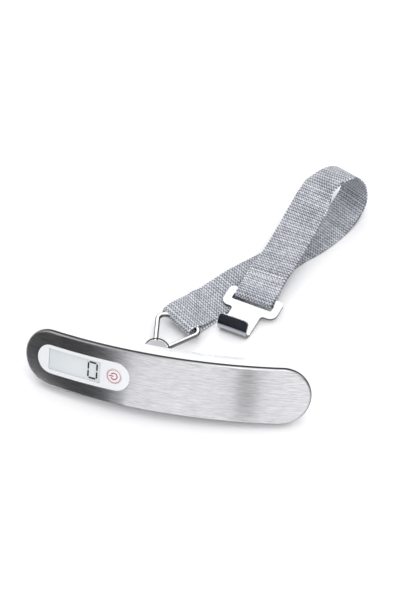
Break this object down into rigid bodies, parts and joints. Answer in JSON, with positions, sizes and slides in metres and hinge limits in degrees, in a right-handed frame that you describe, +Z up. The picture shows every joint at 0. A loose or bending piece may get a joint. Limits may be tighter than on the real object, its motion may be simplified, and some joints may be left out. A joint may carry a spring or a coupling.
{
  "type": "digital luggage scale",
  "caption": "Arched hand-held luggage scale with display and power button, pull eye, delta ring, webbing strap and flat sheet hook.",
  "frame": {"origin": "on the supporting surface, under the middle of the bounding box", "axes": "+X along the handle to the reader's right, +Y from the handle's face to its back where the strap lies, +Z up"},
  "size_m": [0.1692, 0.2245, 0.0395],
  "materials": {
    "brushed_plate": "lengthwise brushed, satin",
    "white_gloss": "gloss",
    "white_inner": "satin",
    "pale_grey": "satin gloss",
    "dark_collar": "matt",
    "bright_wire": "bright",
    "bright_sheet": "bright",
    "webbing": "woven",
    "window": "clear",
    "display_grey": "satin",
    "segment_black": "matt",
    "mark_red": "matt",
    "board_green": "satin",
    "chip_black": "satin",
    "dome_steel": "bright",
    "cell_alloy": "machined",
    "gauge_amber": "gloss film",
    "steel": "zinc plated",
    "battery_steel": "satin",
    "contact_brass": "plated",
    "lead_red": "satin",
    "lead_white": "satin",
    "connector_grey": "matt"
  },
  "bodies": {
    "handle": {"rear_housing": "white_gloss", "front_plate": "brushed_plate", "chassis": "white_inner", "display_bezel": "white_gloss", "display_lens": "window", "lcd_glass": "display_grey", "lcd_digit": "segment_black", "lcd_connector": "connector_grey", "button_dome": "dome_steel", "circuit_board": "board_green", "controller_chip": "chip_black", "load_cell": "cell_alloy", "strain_gauges": "gauge_amber", "cell_screws": "steel", "pull_boss": "pale_grey", "boss_collar": "dark_collar", "stud_washer": "steel", "coin_battery": "battery_steel", "battery_contacts": "contact_brass", "sensor_leads": "lead_white", "battery_leads": "lead_red", "housing_screws": "steel"},
    "button": {"power_button": "white_gloss", "button_marks": "mark_red"},
    "eye": {"pull_eye": "steel", "stud_nut": "steel"},
    "ring": {"delta_ring": "bright_wire"},
    "strap_lower": {"strap_ring_leg": "webbing", "strap_loop": "webbing"},
    "strap_upper": {"strap_hook_leg": "webbing"},
    "hook": {"strap_hook": "bright_sheet"},
    "cap": {"battery_cap": "white_gloss"}
  },
  "joints": [
    {"name": "button_press", "type": "slide", "parent": "handle", "child": "button", "axis": [0.1222, 0.9347, -0.3337], "range_m": [0, 0.0004], "stiffness_N_per_m": 900, "springref_m": -0.0003},
    {"name": "eye_swivel", "type": "hinge", "parent": "handle", "child": "eye", "pos_m": [-0.013, -0.05879, 0.00629], "axis": [0, 0.9418, -0.3362], "continuous": true},
    {"name": "ring_pivot", "type": "hinge", "parent": "eye", "child": "ring", "pos_m": [-0.013, -0.05879, 0.00629], "axis": [0.9589, -0.275, -0.0698], "range_deg": [-80, 80]},
    {"name": "strap_ring_pivot", "type": "hinge", "parent": "ring", "child": "strap_lower", "pos_m": [-0.0057, -0.03331, 0.00629], "axis": [0.9589, -0.275, -0.0698], "range_deg": [-45, 45]},
    {"name": "strap_fold", "type": "hinge", "parent": "strap_lower", "child": "strap_upper", "pos_m": [0.06159, 0.08932, 0.03499], "axis": [-0.9544, 0.2986, 0], "range_deg": [0, 60]},
    {"name": "hook_pivot", "type": "hinge", "parent": "strap_upper", "child": "hook", "pos_m": [0.0332, -0.00142, 0.0056], "axis": [-0.9659, 0.2588, 0], "range_deg": [0, 20]},
    {"name": "cap_turn", "type": "hinge", "parent": "handle", "child": "cap", "pos_m": [0.0458, -0.07803, 0.01316], "axis": [-0.2271, 0.9172, -0.3274], "range_deg": [0, 30]}
  ]
}
